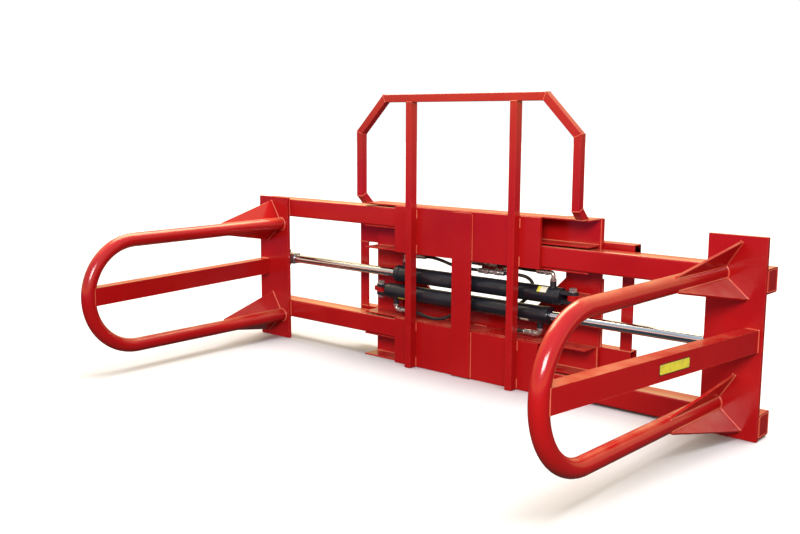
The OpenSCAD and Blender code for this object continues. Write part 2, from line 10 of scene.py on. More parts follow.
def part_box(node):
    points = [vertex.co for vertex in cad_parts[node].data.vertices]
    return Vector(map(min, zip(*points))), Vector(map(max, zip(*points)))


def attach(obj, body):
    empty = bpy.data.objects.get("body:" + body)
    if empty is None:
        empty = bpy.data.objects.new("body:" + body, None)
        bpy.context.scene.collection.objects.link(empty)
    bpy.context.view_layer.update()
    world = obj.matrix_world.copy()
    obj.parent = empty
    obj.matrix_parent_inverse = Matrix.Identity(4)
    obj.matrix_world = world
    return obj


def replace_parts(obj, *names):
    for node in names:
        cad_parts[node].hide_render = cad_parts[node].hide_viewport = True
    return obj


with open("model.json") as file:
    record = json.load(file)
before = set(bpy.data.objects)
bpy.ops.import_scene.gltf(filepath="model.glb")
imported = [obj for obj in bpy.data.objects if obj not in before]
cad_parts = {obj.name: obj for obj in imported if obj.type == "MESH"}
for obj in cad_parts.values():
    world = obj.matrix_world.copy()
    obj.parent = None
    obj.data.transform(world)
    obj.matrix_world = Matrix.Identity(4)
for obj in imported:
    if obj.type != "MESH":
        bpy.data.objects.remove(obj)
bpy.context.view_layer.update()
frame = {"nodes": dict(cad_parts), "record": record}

scene = bpy.context.scene
MM = 0.001
FRAME_BODY = "frame"

# ---------- camera: outside the right arm, a little above the guard's middle ----------

CAMERA_PLACE = (2.240, -2.969, 1.001)
CAMERA_YAW = 41.38
CAMERA_PITCH = -8.74
CAMERA_ROLL = 0.21
CAMERA_LENS = 43.06


def make_camera():
    data = bpy.data.cameras.new("camera")
    data.lens = CAMERA_LENS
    data.sensor_width = 36.0
    camera = bpy.data.objects.new("camera", data)
    turn = Matrix.Rotation(math.radians(CAMERA_YAW), 4, "Z")
    tilt = Matrix.Rotation(math.radians(90 + CAMERA_PITCH), 4, "X")
    roll = Matrix.Rotation(math.radians(CAMERA_ROLL), 4, "Z")
    camera.matrix_world = Matrix.Translation(CAMERA_PLACE) @ turn @ tilt @ roll
    scene.collection.objects.link(camera)
    scene.camera = camera


# ---------- shapes ----------


def sweep(path, radii, sides, closed=False):
    """Points and faces of a tube along a path, with its own radius at each point."""
    count = len(path)
    points, faces, normal = [], [], None
    for i, place in enumerate(path):
        before = path[i - 1] if i or closed else place
        after = path[(i + 1) % count] if i < count - 1 or closed else place
        along = (after - before).normalized()
        if normal is None:
            normal = along.orthogonal()
        normal = (normal - along * normal.dot(along)).normalized()
        across = along.cross(normal)
        for k in range(sides):
            angle = 2 * math.pi * k / sides
            points.append(place + radii[i] * (math.cos(angle) * normal + math.sin(angle) * across))
    for i in range(count if closed else count - 1):
        j = (i + 1) % count
        for k in range(sides):
            m = (k + 1) % sides
            faces.append((i * sides + k, i * sides + m, j * sides + m, j * sides + k))
    if not closed:
        faces.append(tuple(reversed(range(sides))))
        faces.append(tuple((count - 1) * sides + k for k in range(sides)))
    return points, faces


def lathe(start, direction, profile, sides=32):
    """A turned shape: profile is a list of (distance along, radius), both in millimetres."""
    along = Vector(direction).normalized()
    side = along.orthogonal().normalized()
    if abs(along.z) < 0.5:
        side = Vector((0, 0, 1))
    across = along.cross(side)
    points, faces = [], []
    for distance, radius in profile:
        centre = Vector(start) + along * distance * MM
        for k in range(sides):
            angle = 2 * math.pi * k / sides
            rim = math.cos(angle) * side + math.sin(angle) * across
            points.append(centre + rim * radius * MM)
    for i in range(len(profile) - 1):
        for k in range(sides):
            m = (k + 1) % sides
            faces.append((i * sides + k, i * sides + m, (i + 1) * sides + m, (i + 1) * sides + k))
    faces.append(tuple(reversed(range(sides))))
    faces.append(tuple((len(profile) - 1) * sides + k for k in range(sides)))
    return points, faces


def hexagon(start, direction, radius, height, chamfer=1.2):
    """A hexagonal nut with its corners chamfered at both ends; radius is to a corner, in millimetres."""
    return lathe(start, direction, [
        (0, radius - chamfer), (chamfer / 2, radius),
        (height - chamfer / 2, radius), (height, radius - chamfer)
    ], sides=6)


def piece(name, parts, material, body, sharp=40):
    """One mesh object made of closed parts, smooth except along edges sharper than sharp degrees."""
    shape = bmesh.new()
    for points, faces in parts:
        made = [shape.verts.new(p) for p in points]
        for face in faces:
            shape.faces.new([made[i] for i in face])
    bmesh.ops.recalc_face_normals(shape, faces=shape.faces)
    for face in shape.faces:
        face.smooth = True
    for edge in shape.edges:
        edge.smooth = edge.calc_face_angle(math.pi) < math.radians(sharp)
    mesh = bpy.data.meshes.new(name)
    shape.to_mesh(mesh)
    shape.free()
    mesh.materials.append(material)
    made = bpy.data.objects.new(name, mesh)
    scene.collection.objects.link(made)
    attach(made, body)
    return made


# ---------- hoses ----------

HOSE_DIAMETER = 0.013
ROUTE_STEPS = 8
# The routes, in millimetres, from the sleeve at a cylinder's port to the sleeve at a tee.
ROUTES = {
    "upper_rod_hose": [
        (-223, -14, 452), (-190, -14, 452), (-156, -14, 448), (-122, -14, 441), (-88, -14, 433),
        (-54, -14, 428), (-20, -14, 426), (14, -14, 426), (45, -14, 426)
    ],
    "lower_rod_hose": [
        (261, -14, 216), (232, -14, 216), (206, -12, 216), (183, -4, 220), (166, 8, 232),
        (160, 21, 252), (168, 30, 274), (187, 34, 294), (211, 35, 312), (235, 35, 331),
        (254, 35, 354), (264, 33, 380), (262, 26, 402), (248, 13, 418), (225, -1, 425),
        (197, -11, 426), (180, -14, 426), (165, -14, 426)
    ],
    "upper_base_hose": [
        (313, -14, 452), (285, -14, 452), (255, -11, 452), (225, -4, 452), (195, 4, 451),
        (165, 10, 450), (140, 12, 450), (115, 12, 450)
    ],
    "lower_base_hose": [
        (-313, -14, 216), (-290, -14, 216), (-262, -13, 213), (-235, -11, 207), (-208, -8, 202),
        (-180, -3, 200), (-151, 5, 204), (-124, 14, 215), (-102, 23, 234), (-88, 30, 260),
        (-80, 34, 292), (-77, 35, 326), (-75, 35, 360), (-69, 33, 393), (-56, 27, 421),
        (-36, 18, 443), (-19, 12, 450), (-5, 12, 450)
    ],
}


def smooth_route(route):
    """The route as one smooth line that passes through each of its points, in metres."""
    points = [Vector(p) * MM for p in route]
    points = [2 * points[0] - points[1], *points, 2 * points[-1] - points[-2]]
    line = []
    for a, b, c, d in zip(points, points[1:], points[2:], points[3:]):
        for step in range(ROUTE_STEPS):
            t = step / ROUTE_STEPS
            line.append(0.5 * (2 * b + (c - a) * t + (2 * a - 5 * b + 4 * c - d) * t ** 2
                               + (3 * b - a - 3 * c + d) * t ** 3))
    line.append(points[-2])
    return line


def make_hose(name, material):
    line = smooth_route(ROUTES[name])
    line_name = name + "_line"
    curve = bpy.data.curves.new(line_name, "CURVE")
    curve.dimensions = "3D"
    curve.bevel_depth = HOSE_DIAMETER / 2
    curve.bevel_resolution = 6
    spline = curve.splines.new("POLY")
    spline.points.add(len(line) - 1)
    for point, place in zip(spline.points, line):
        point.co = (*place, 1.0)
    curve.materials.append(material)
    hose = bpy.data.objects.new(line_name, curve)
    scene.collection.objects.link(hose)
    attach(hose, FRAME_BODY)
    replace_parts(hose, name)
    length = sum((b - a).length for a, b in zip(line, line[1:]))
    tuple(line[0])


# ---------- materials ----------


class Finish:
    """A material, with short calls for the nodes that the finishes here share."""

    def __init__(self, name):
        self.material = bpy.data.materials.new(name)
        self.material.use_nodes = True
        self.nodes = self.material.node_tree.nodes
        self.surface = self.nodes["Principled BSDF"]
        self.place = self.nodes.new("ShaderNodeTexCoord").outputs["Object"]

    def link(self, output, target):
        self.material.node_tree.links.new(output, target)

    def set(self, **values):
        for name, value in values.items():
            self.surface.inputs[name.replace("_", " ")].default_value = value

    def noise(self, scale, detail=2.0, stretch=(1, 1, 1)):
        mapping = self.nodes.new("ShaderNodeMapping")
        mapping.inputs["Scale"].default_value = stretch
        self.link(self.place, mapping.inputs["Vector"])
        noise = self.nodes.new("ShaderNodeTexNoise")
        noise.inputs["Scale"].default_value = scale
        noise.inputs["Detail"].default_value = detail
        self.link(mapping.outputs["Vector"], noise.inputs["Vector"])
        return noise.outputs["Fac"]

    def spread(self, value, low, high, to_low=0.0, to_high=1.0):
        spread = self.nodes.new("ShaderNodeMapRange")
        for name, number in zip(("From Min", "From Max", "To Min", "To Max"), (low, high, to_low, to_high)):
            spread.inputs[name].default_value = number
        self.link(value, spread.inputs["Value"])
        return spread.outputs["Result"]

    def times(self, a, b):
        product = self.nodes.new("ShaderNodeMath")
        product.operation = "MULTIPLY"
        self.link(a, product.inputs[0])
        if isinstance(b, float):
            product.inputs[1].default_value = b
        else:
            self.link(b, product.inputs[1])
        return product.outputs[0]

    def mix(self, factor, a, b):
        mix = self.nodes.new("ShaderNodeMix")
        mix.data_type = "RGBA"
        self.link(factor, mix.inputs["Factor"])
        for socket, colour in ((mix.inputs[6], a), (mix.inputs[7], b)):
            if isinstance(colour, tuple):
                socket.default_value = (*colour, 1.0)
            else:
                self.link(colour, socket)
        return mix.outputs[2]

    def edges(self, radius):
        """1 along the object's edges and 0 on its flat faces."""
        bevel = self.nodes.new("ShaderNodeBevel")
        bevel.samples = 4
        bevel.inputs["Radius"].default_value = radius
        geometry = self.nodes.new("ShaderNodeNewGeometry")
        dot = self.nodes.new("ShaderNodeVectorMath")
        dot.operation = "DOT_PRODUCT"
        self.link(bevel.outputs["Normal"], dot.inputs[0])
        self.link(geometry.outputs["Normal"], dot.inputs[1])
        return self.spread(dot.outputs["Value"], 0.98, 0.80)

    def upward(self):
        """1 on level top faces and 0 on upright ones."""
        geometry = self.nodes.new("ShaderNodeNewGeometry")
        split = self.nodes.new("ShaderNodeSeparateXYZ")
        self.link(geometry.outputs["Normal"], split.inputs[0])
        return self.spread(split.outputs["Z"], 0.55, 0.95)

    def bump(self, height, distance, strength=1.0):
        bump = self.nodes.new("ShaderNodeBump")
        bump.inputs["Distance"].default_value = distance
        bump.inputs["Strength"].default_value = strength
        self.link(height, bump.inputs["Height"])
        self.link(bump.outputs["Normal"], self.surface.inputs["Normal"])

    def colour(self, output):
        self.link(output, self.surface.inputs["Base Color"])

    def roughness(self, output):
        self.link(output, self.surface.inputs["Roughness"])


def red_paint(name, deep, bright, dust, stretch=(1, 1, 1)):
    """Glossy machine enamel with orange peel; its edges lightened toward pale orange (edge wear with a
    painted edge highlight), and its top faces lightened toward peach (dust with a painted top-face
    highlight).
    """
    finish = Finish(name)
    finish.set(Specular_IOR_Level=0.5)
    colour = finish.mix(finish.spread(finish.noise(2.2, 4.0), 0.35, 0.65), deep, bright)
    # Edge wear with a painted edge highlight: noisy patches along the edges lightened up to half-way toward a
    # pale orange.
    edge_wear_and_highlight_breakup = finish.spread(finish.noise(60.0, 4.0), 0.40, 0.62)
    colour = finish.mix(finish.times(finish.times(finish.edges(0.003), edge_wear_and_highlight_breakup), 0.5), colour, EDGE_WEAR_AND_HIGHLIGHT_RED)
    # Dust with a painted top-face highlight: noisy patches on level top faces lightened toward peach; the
    # dust argument sets how far, for both.
    dust_and_highlight_patches = finish.spread(finish.noise(9.0, 6.0, stretch), 0.42, 0.70, 0.0, dust)
    settled_dust_and_highlight = finish.times(dust_and_highlight_patches, finish.upward())
    finish.colour(finish.mix(settled_dust_and_highlight, colour, DUST_AND_TOP_HIGHLIGHT))
    finish.roughness(finish.spread(finish.noise(7.0, 5.0, stretch), 0.3, 0.7, 0.14, 0.26))
    finish.bump(finish.noise(420.0, 2.0), 0.00012, 0.5)
    return finish.material


def black_paint():
    """Satin black cylinder paint with faint overspray and scuffs."""
    finish = Finish("black_enamel")
    finish.set(Specular_IOR_Level=0.5)
    clouds = finish.spread(finish.noise(5.0, 5.0), 0.4, 0.7)
    colour = finish.mix(clouds, (0.005, 0.007, 0.011), (0.014, 0.018, 0.026))
    scuffs = finish.spread(finish.noise(26.0, 8.0, (0.3, 1, 1)), 0.62, 0.75)
    finish.colour(finish.mix(finish.times(scuffs, 0.35), colour, (0.07, 0.07, 0.075)))
    finish.roughness(finish.spread(finish.noise(12.0, 6.0), 0.3, 0.7, 0.27, 0.45))
    finish.bump(finish.noise(300.0, 2.0), 0.0002, 0.4)
    return finish.material


def chrome():
    """Hard chrome, ground round and round, with a thin oil film."""
    finish = Finish("hard_chrome")
    finish.set(Metallic=1.0)
    finish.colour(finish.mix(finish.spread(finish.noise(6.0, 3.0), 0.3, 0.7),
                             (0.50, 0.55, 0.60), (0.66, 0.70, 0.74)))
    finish.roughness(finish.spread(finish.noise(3.0, 3.0, (220, 1, 1)), 0.3, 0.7, 0.10, 0.20))
    finish.bump(finish.noise(3.0, 2.0, (400, 1, 1)), 0.00002, 0.3)
    return finish.material


def plated(name, dark, light, rough):
    """Zinc plate or bare steel: blotchy, with a fine grain."""
    finish = Finish(name)
    finish.set(Metallic=0.9)
    finish.colour(finish.mix(finish.spread(finish.noise(40.0, 5.0), 0.3, 0.7), dark, light))
    finish.roughness(finish.spread(finish.noise(90.0, 4.0), 0.3, 0.7, rough - 0.08, rough + 0.12))
    finish.bump(finish.noise(600.0, 2.0), 0.00015, 0.4)
    return finish.material


def rubber():
    """Hose cover with the faint cloth print of its wrapping, and dust in it."""
    finish = Finish("hose_cover")
    finish.set(Specular_IOR_Level=0.4)
    dust = finish.spread(finish.noise(18.0, 6.0), 0.45, 0.75, 0.0, 0.5)
    finish.colour(finish.mix(dust, (0.010, 0.011, 0.012), (0.045, 0.045, 0.045)))
    finish.roughness(finish.spread(finish.noise(30.0, 4.0), 0.3, 0.7, 0.38, 0.58))
    finish.bump(finish.noise(900.0, 1.0), 0.0003, 0.6)
    return finish.material


def printed(name, colour, worn):
    """Plastic label film, rubbed a little."""
    finish = Finish(name)
    finish.set(Specular_IOR_Level=0.5)
    rub = finish.spread(finish.noise(70.0, 6.0), 0.5, 0.75, 0.0, 0.6)
    finish.colour(finish.mix(rub, colour, worn))
    finish.roughness(finish.spread(finish.noise(40.0, 3.0), 0.3, 0.7, 0.30, 0.50))
    finish.bump(finish.noise(500.0, 1.0), 0.00005, 0.3)
    return finish.material


# Pale orange for the edges: edge wear with a painted edge highlight.
EDGE_WEAR_AND_HIGHLIGHT_RED = (0.75, 0.22, 0.10)
# Peach for the top faces: dust with a painted top-face highlight.
DUST_AND_TOP_HIGHLIGHT = (0.55, 0.30, 0.15)
paint = red_paint("red_enamel", (0.34, 0.004, 0.005), (0.42, 0.008, 0.008), 0.35)
# Slide tubes: dust streaked along the tubes, with a stronger painted top-face highlight.
slide_paint = red_paint("red_enamel_slide", (0.35, 0.004, 0.005), (0.43, 0.009, 0.009), 0.9, (0.12, 1, 1))
# Weld beads: a lighter, more orange copy of the red enamel, a painted highlight for the light the beads'
# curved surfaces catch; its top faces also get the dust and painted top-face highlight.
weld_paint_with_painted_highlight = red_paint("red_enamel_weld_painted_highlight", (0.52, 0.05, 0.03), (0.70, 0.18, 0.10), 0.6)
black = black_paint()
steel = plated("machined_steel", (0.34, 0.35, 0.36), (0.55, 0.56, 0.57), 0.30)
zinc = plated("zinc_plate", (0.42, 0.43, 0.42), (0.66, 0.66, 0.62), 0.30)
FINISHES = {
    "red_paint": paint, "black_paint": black, "chrome_rod": chrome(),
    "zinc": zinc, "steel": steel, "hose_rubber": rubber(),
}

# ---------- the CAD nodes: finish and softened edges ----------

PLATE_EDGE = 0.0012
TUBE_EDGE = 0.0030
SMALL_EDGE = 0.0007
EDGE_RADII = {
    "guard": TUBE_EDGE, "left_upright": TUBE_EDGE, "right_upright": TUBE_EDGE,
    "left_bar": TUBE_EDGE, "right_bar": TUBE_EDGE,
    "rear_top_bar": TUBE_EDGE, "rear_bottom_bar": TUBE_EDGE,
    "left_rear_post": TUBE_EDGE, "right_rear_post": TUBE_EDGE,
}
SMOOTH_GROUP = "drop_stored_normals"


def smooth_group():
    """Drops the stored normals and shades smooth, so that the softened edges get normals of their own."""
    group = bpy.data.node_groups.new(SMOOTH_GROUP, "GeometryNodeTree")
    for way in ("INPUT", "OUTPUT"):
        group.interface.new_socket("Geometry", in_out=way, socket_type="NodeSocketGeometry")
    start = group.nodes.new("NodeGroupInput").outputs[0]
    drop = group.nodes.new("GeometryNodeRemoveAttribute")
    drop.inputs["Name"].default_value = "custom_normal"
    group.links.new(start, drop.inputs["Geometry"])
    last = drop
    for domain in ("EDGE", "FACE"):
        smooth = group.nodes.new("GeometryNodeSetShadeSmooth")
        smooth.domain = domain
        smooth.inputs["Shade Smooth"].default_value = True
        group.links.new(last.outputs[0], smooth.inputs[0])
        last = smooth
    group.links.new(last.outputs[0], group.nodes.new("NodeGroupOutput").inputs[0])
    return group


def soften(node, width, group):
    """Rounds a CAD node's edges, by modifiers only."""
    weld = node.modifiers.new("weld", "WELD")
    weld.merge_threshold = 0.00002
    flat = node.modifiers.new("flat", "DECIMATE")
    flat.decimate_type = "DISSOLVE"
    flat.angle_limit = math.radians(0.4)
    bevel = node.modifiers.new("bevel", "BEVEL")
    bevel.width = width
    bevel.segments = 2
    bevel.limit_method = "ANGLE"
    bevel.angle_limit = math.radians(38)
    smooth = node.modifiers.new("smooth", "NODES")
    smooth.node_group = group
    normals = node.modifiers.new("normals", "WEIGHTED_NORMAL")
    normals.keep_sharp = False
    normals.weight = 50


def finish_nodes():
    group = smooth_group()
    slots = {part["node"]: part["material_slot"] for part in frame["record"]["subparts"]}
    for name, node in frame["nodes"].items():
        material = FINISHES[slots[name]]
        if name.endswith("slide_tubes"):
            material = slide_paint
        node.data.materials.clear()
        node.data.materials.append(material)
        if name.endswith("_hose"):
            continue
        usual = PLATE_EDGE if slots[name] == "red_paint" else SMALL_EDGE
        soften(node, EDGE_RADII.get(name, usual), group)


# ---------- sizes that the pieces below share, from the frame ----------

CYLINDER_Y = -0.014
upper_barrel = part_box("upper_barrel")
lower_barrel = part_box("lower_barrel")
UPPER_Z = (upper_barrel[0].z + upper_barrel[1].z) / 2
LOWER_Z = (lower_barrel[0].z + lower_barrel[1].z) / 2
BARREL_R = (upper_barrel[1].z - upper_barrel[0].z) / 2
BASE_PORT = 0.014
GLAND_PORT = 0.021
BOSS_TOP = 0.052
BOSS_R = 0.012
FLANGE_T = 0.006
SLIDE_TUBE = 0.080


def ports():
    """Each port: where its boss ends, which way it faces, and the rise and signed leg of its elbow, in mm."""
    upper, lower = UPPER_Z + BOSS_TOP, LOWER_Z - BOSS_TOP
    return [
        (Vector((upper_barrel[1].x - BASE_PORT, CYLINDER_Y, upper)), 1, 31, -22),
        (Vector((upper_barrel[0].x + GLAND_PORT, CYLINDER_Y, upper)), 1, 31, 60),
        (Vector((lower_barrel[0].x + BASE_PORT, CYLINDER_Y, lower)), -1, 23, 22),
        (Vector((lower_barrel[1].x - GLAND_PORT, CYLINDER_Y, lower)), -1, 23, -22),
    ]


TEE_ARM = 22
ROD_TEE = Vector((0.105, CYLINDER_Y, 0.426))
BASE_TEE = Vector((0.055, 0.012, 0.450))
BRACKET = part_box("tee_bracket")


# ---------- hydraulic fittings ----------


def crimped_sleeve(fitting, hose_x):
    """Swivel nut and crimped sleeve, from a fitting's end to a hose's end along X."""
    direction = (1 if hose_x > fitting.x else -1, 0, 0)
    length = abs(hose_x - fitting.x) / MM
    nut, neck = 13, 3
    start = Vector(fitting) + Vector(direction) * (nut + neck) * MM
    grooves = []
    crimps = 4
    pitch = (length - nut - neck - 4) / crimps
    for k in range(crimps):
        at = 2 + k * pitch
        grooves += [(at, 10), (at + pitch * 0.62, 10), (at + pitch * 0.72, 9.1), (at + pitch * 0.9, 9.1)]
    sleeve = [(0, 8.6), (1, 10), *grooves, (length - nut - neck - 1.5, 10), (length - nut - neck, 9)]
    neck_start = Vector(fitting) + Vector(direction) * (nut - 1) * MM
    return [
        hexagon(fitting, direction, 11.5, nut),
        lathe(neck_start, direction, [(0, 7.5), (neck + 2, 7.5)]),
        lathe(start, direction, sleeve),
    ]


def elbow(place, up, rise, leg):
    """Forged elbow: nut on the port, bent neck, and a collar where the hose screws on."""
    bend = 11
    turn = 1 if leg > 0 else -1
    path = [(0, 0), (0, rise - bend)]
    for step in range(1, 9):
        angle = math.radians(90) * step / 8
        path.append((turn * bend * (1 - math.cos(angle)), rise - bend + bend * math.sin(angle)))
    path.append((leg, rise))
    line = [place + Vector((x, 0, up * z)) * MM for x, z in path]
    collar = place + Vector((leg - turn * 8, 0, up * rise)) * MM
    return [
        sweep(line, [0.0078] * len(line), 24),
        hexagon(place, (0, 0, up), 12, 9),
        lathe(place + Vector((0, 0, up * 9 * MM)), (0, 0, up), [(0, 9.5), (2, 9.5), (3, 8)]),
        lathe(collar, (turn, 0, 0), [(0, 8), (1, 9.4), (8, 9.4)]),
    ]


def tee(place):
    """Forged tee with a nut on each arm and a lock nut on the leg to the bracket."""
    reach = (BRACKET[0].y - place.y) / MM
    left = place - Vector((TEE_ARM * MM, 0, 0))
    barrel = [(0, 8.5), (8, 8.5), (10, 8), (16, 9.2), (22, 10), (28, 9.2), (34, 8), (36, 8.5), (44, 8.5)]
    return [
        lathe(left, (1, 0, 0), barrel),
        lathe(place, (0, 1, 0), [(0, 8.8), (reach - 6, 8.8), (reach, 8.8)]),
        hexagon(left, (1, 0, 0), 11, 8),
        hexagon(place + Vector((TEE_ARM * MM, 0, 0)), (-1, 0, 0), 11, 8),
        hexagon(Vector((place.x, BRACKET[0].y, place.z)), (0, -1, 0), 12.5, 6),
    ]


def coupler(place):
    """Quick coupler: lock nut, body, and a pull-back sleeve with grip grooves and a socket."""
    start = Vector((place.x, BRACKET[0].y, place.z))
    body = [(0, 9), (6, 9), (6, 11), (24, 11), (25, 10), (27, 10), (27, 12.2), (28, 13)]
    for k in range(4):
        at = 30 + 2.4 * k
        body += [(at, 13), (at + 0.5, 12.3), (at + 1.2, 12.3), (at + 1.7, 13)]
    body += [(47, 13), (48, 12.2), (48, 9.5), (36, 9.5), (36, 4)]
    return [
        lathe(start, (0, 1, 0), body, 48),
        hexagon(start + Vector((0, 6 * MM, 0)), (0, 1, 0), 14, 9),
    ]


def make_fittings():
    sleeves, elbows = [], []
    hoses = ("upper_base_hose", "upper_rod_hose", "lower_base_hose", "lower_rod_hose")
    for (place, up, rise, leg), hose in zip(ports(), hoses):
        elbows += elbow(place, up, rise, leg)
        fitting = place + Vector((leg, 0, up * rise)) * MM
        sleeves += crimped_sleeve(fitting, ROUTES[hose][0][0] * MM)
    for centre, side, hose in (
        (ROD_TEE, -1, "upper_rod_hose"), (ROD_TEE, 1, "lower_rod_hose"),
        (BASE_TEE, 1, "upper_base_hose"), (BASE_TEE, -1, "lower_base_hose"),
    ):
        fitting = centre + Vector((side * TEE_ARM * MM, 0, 0))
        sleeves += crimped_sleeve(fitting, ROUTES[hose][-1][0] * MM)
    for name, parts, node, material in (
        ("hose_sleeves", sleeves, "hose_ferrules", zinc),
        ("elbow_fittings", elbows, "port_elbows", zinc),
        ("tee_fittings", tee(ROD_TEE) + tee(BASE_TEE), "hose_tees", zinc),
        ("coupler_bodies", coupler(ROD_TEE) + coupler(BASE_TEE), "quick_couplers", steel),
    ):
        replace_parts(piece(name, parts, material, FRAME_BODY, 25), node)


# ---------- weld beads ----------

BEAD_STEP = 2.2 * MM
shake = random.Random(7)


def resampled(points, step, closed):
    """Points about one step apart along a line through the given ones."""
    corners = [Vector(p) for p in points]
    if closed:
        corners.append(corners[0])
    line = []
    for a, b in zip(corners, corners[1:]):
        count = max(1, round((b - a).length / step))
        line += [a.lerp(b, k / count) for k in range(count)]
    return line if closed else line + [corners[-1]]


def bead(points, radius, closed=False):
    """A weld bead with the overlapping ripples that a welder leaves."""
    line = resampled(points, BEAD_STEP, closed)
    radii = [radius * MM * (1.0 - 0.2 * (k % 2) + shake.uniform(-0.07, 0.07)) for k in range(len(line))]
    return sweep(line, radii, 6, closed)


def stitches(a, b, length, radius):
    """A short bead at each end of a joint."""
    a, b = Vector(a), Vector(b)
    step = (b - a).normalized() * length
    return [bead([a, a + step], radius), bead([b - step, b], radius)]


def circle(centre, axis, radius, count=40):
    """Points round a circle."""
    axis = Vector(axis).normalized()
    side = axis.orthogonal().normalized()
    across = axis.cross(side)
    points = []
    for k in range(count):
        angle = 2 * math.pi * k / count
        points.append(Vector(centre) + radius * (math.cos(angle) * side + math.sin(angle) * across))
    return points


def front_welds():
    """Strap and uprights on the front plates."""
    parts = []
    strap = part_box("centre_strap")
    for plate in (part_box("lower_front_plate"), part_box("upper_front_plate")):
        y = plate[0].y
        low, high = max(plate[0].z, strap[0].z) + 0.004, min(plate[1].z, strap[1].z) - 0.004
        for x in (strap[0].x, strap[1].x):
            parts.append(bead([(x, y, low), (x, y, high)], 3))
        for upright in (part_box("left_upright"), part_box("right_upright")):
            for x in (upright[0].x, upright[1].x):
                parts += stitches((x, y, low), (x, y, high), 0.035, 3)
    return parts


def guard_welds():
    """Mitred corners, feet and upright tops of the guard."""
    parts = []
    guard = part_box("guard")
    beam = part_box("upper_beam_web")
    tube, corner_cut, foot_rise = 0.030, 0.145, 0.044
    half, top, front = guard[1].x, guard[1].z, guard[0].y
    mitre = tube * math.tan(math.radians(22.5))
    for side in (-1, 1):
        for outer, inner in (
            ((half, top - corner_cut), (half - tube, top - corner_cut - mitre)),
            ((half - corner_cut, top), (half - corner_cut - mitre, top - tube)),
        ):
            ring = [(side * x, y, z) for (x, z), y in (
                (outer, front), (outer, front + tube), (inner, front + tube), (inner, front))]
            parts.append(bead(ring, 1.6, True))
        x_out, x_in = side * half, side * (half - tube)
        bend_z = beam[1].z + foot_rise
        bend = [(x_out, front, bend_z - mitre), (x_out, front + tube, bend_z),
                (x_in, front + tube, bend_z), (x_in, front, bend_z - mitre)]
        parts.append(bead(bend, 1.6, True))
        foot = guard[1].y
        slant = tube / math.cos(math.radians(45))
        base = [(x_out, foot - slant, beam[1].z), (x_out, foot, beam[1].z),
                (x_in, foot, beam[1].z), (x_in, foot - slant, beam[1].z)]
        parts.append(bead(base, 2.5, True))
    for name in ("left_upright", "right_upright"):
        low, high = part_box(name)
        ring = [(low.x, front, high.z), (high.x, front, high.z),
                (high.x, front + tube, high.z), (low.x, front + tube, high.z)]
        parts.append(bead(ring, 1.8, True))
    return parts


def beam_welds():
    """Flanges on webs, inside the rows, and the stiles on the webs' backs."""
    parts = []
    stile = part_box("left_stile")
    end_gap = 0.003
    for beam in ("lower_beam", "upper_beam"):
        web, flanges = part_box(beam + "_web"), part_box(beam + "_flanges")
        rise = (web[1].z - web[0].z - FLANGE_T) / 2
        y = flanges[1].y
        for row in (0, 1):
            for z in (web[0].z + row * rise + FLANGE_T, web[0].z + (row + 1) * rise):
                parts.append(bead([(web[0].x + end_gap, y, z), (web[1].x - end_gap, y, z)], 2.5))
        for side in (-1, 1):
            for x in (side * -stile[1].x, side * web[1].x):
                parts.append(bead([(x, web[1].y, web[0].z + end_gap), (x, web[1].y, web[1].z - end_gap)], 3))
    return parts


def rear_welds():
    """Cross bars, posts and hitch plate on the stiles' backs."""
    parts = []
    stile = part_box("right_stile")
    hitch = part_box("hitch_plate")
    for side in (-1, 1):
        x_in, x_out = side * stile[0].x, side * stile[1].x
        for name in ("rear_top_bar", "rear_bottom_bar"):
            low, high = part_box(name)
            for z in (low.z, high.z):
                parts.append(bead([(x_in, stile[1].y, z), (x_out, stile[1].y, z)], 3))
        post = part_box("right_rear_post")
        for z in (post[0].z, post[1].z):
            corners = [(side * post[0].x, post[1].y, z), (side * post[1].x, post[1].y, z),
                       (side * post[1].x, post[0].y, z), (side * post[0].x, post[0].y, z)]
            parts.append(bead(corners, 2.5))
        parts.append(bead([(x_out, stile[1].y, hitch[0].z), (x_out, stile[1].y, hitch[1].z)], 3))
        parts.append(bead([(x_in, stile[1].y, hitch[1].z), (x_out, stile[1].y, hitch[1].z)], 3))
    pitch, length = 0.18, 0.06
    for k in range(-2, 3):
        for y in (hitch[0].y, hitch[1].y):
            start, end = k * pitch - length / 2, k * pitch + length / 2
            parts.append(bead([(start, y, hitch[0].z), (end, y, hitch[0].z)], 3))
    for name in ("upper_base_lug", "lower_base_lug"):
        low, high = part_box(name)
        for z in (low.z, high.z):
            parts.append(bead([(low.x + 0.004, stile[0].y, z), (high.x - 0.004, stile[0].y, z)], 2.5))
    low, high = BRACKET
    for x in (low.x, high.x):
        parts.append(bead([(x, low.y, high.z), (x, high.y, high.z)], 2))
    parts.append(bead([(low.x, low.y, high.z), (high.x, low.y, high.z)], 2))
    return parts


def cylinder_welds():
    """Base cap and port bosses on each barrel, painted black with it."""
    parts = []
    for barrel, z, base_x, gland_x in (
        (upper_barrel, UPPER_Z, upper_barrel[1].x, upper_barrel[0].x),
        (lower_barrel, LOWER_Z, lower_barrel[0].x, lower_barrel[1].x),
    ):
        parts.append(bead(circle((base_x, CYLINDER_Y, z), (1, 0, 0), BARREL_R - 0.0005), 2.6, True))
    for place, up, _, _ in ports():
        z = UPPER_Z if up > 0 else LOWER_Z
        ring = []
        for point in circle((place.x, CYLINDER_Y, z), (0, 0, 1), BOSS_R):
            lift = math.sqrt(BARREL_R ** 2 - (point.y - CYLINDER_Y) ** 2)
            ring.append(Vector((point.x, point.y, z + up * lift)))
        parts.append(bead(ring, 2.2, True))
    return parts


# ---------- arms ----------

HOOP_TUBE = 0.0275
HOOP_TOE = 1.1
HOOP_INSET = 0.045
HOOP_LENGTH = 0.998
BAR_INSET = 0.036
FIN_LENGTH = 0.330
FIN_WIDTH = 0.095
FIN_TIP = 0.006
FIN_THICK = 0.008
FIN_RISE = 58
FIN_FALL = 40


